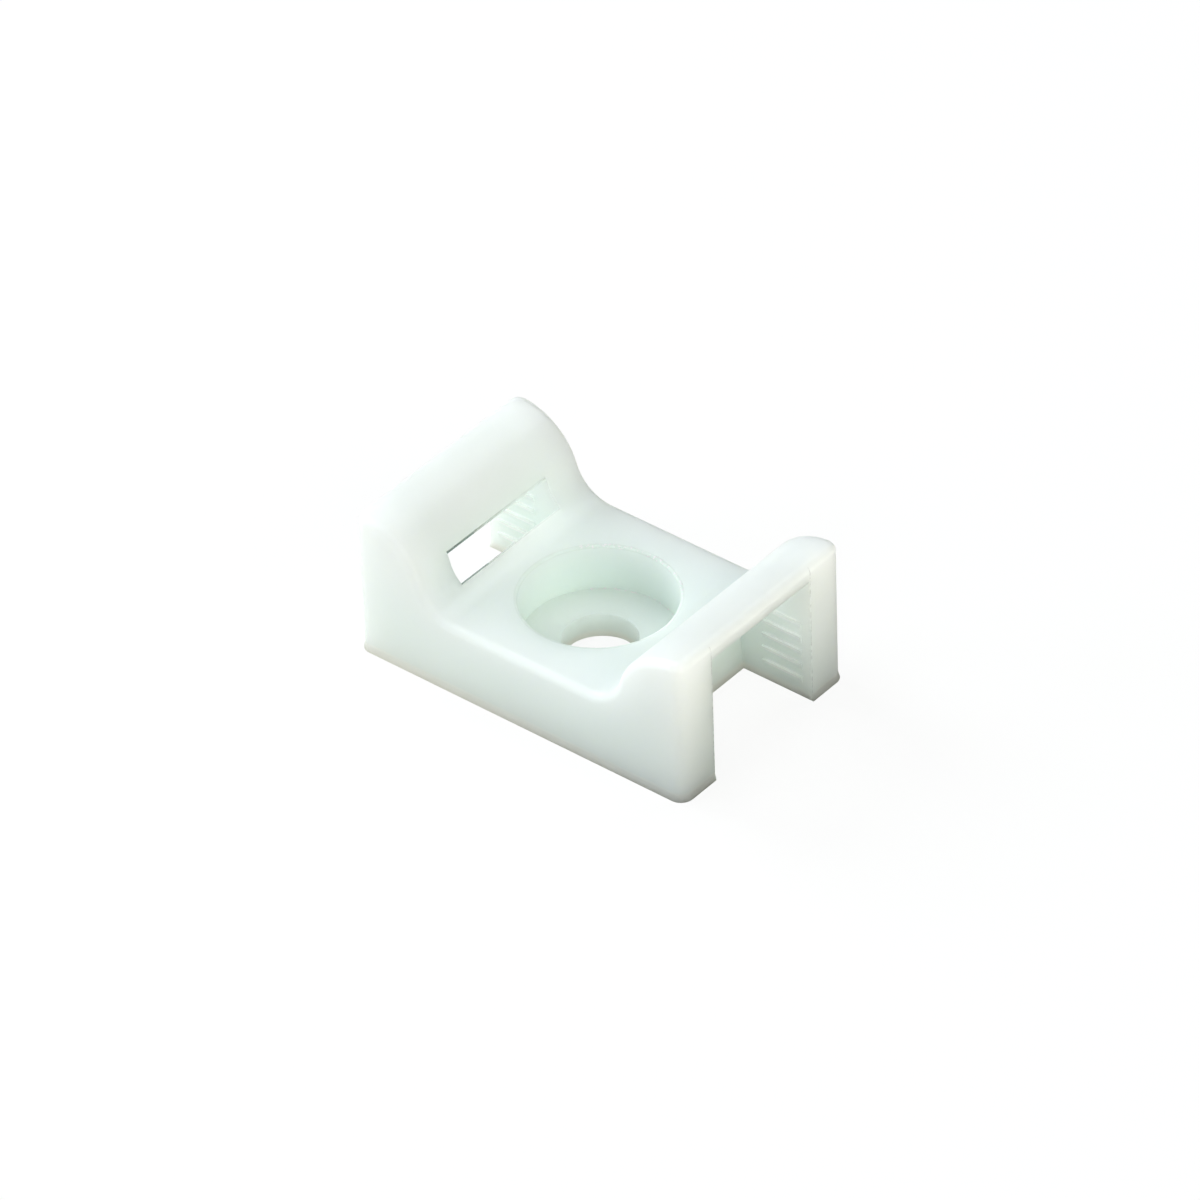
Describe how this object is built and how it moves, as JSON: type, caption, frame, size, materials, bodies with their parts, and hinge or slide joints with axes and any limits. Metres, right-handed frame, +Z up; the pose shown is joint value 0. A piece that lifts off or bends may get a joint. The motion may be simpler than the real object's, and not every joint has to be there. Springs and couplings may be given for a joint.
{
  "type": "cable tie mount",
  "caption": "One-piece moulded saddle mount for cable ties, with a bridged tie slot at each end and a recessed screw hole in the deck.",
  "frame": {"origin": "on the mounting face, on the axis of the screw hole", "axes": "+X along the length, towards one ear; +Y across the width, along the cables that lie in the saddle; +Z up from the mounting face"},
  "size_m": [0.023, 0.0142, 0.0092],
  "materials": {
    "natural_nylon": "smooth moulded, slightly translucent"
  },
  "bodies": {
    "root": {"tie_mount": "natural_nylon"}
  },
  "joints": []
}
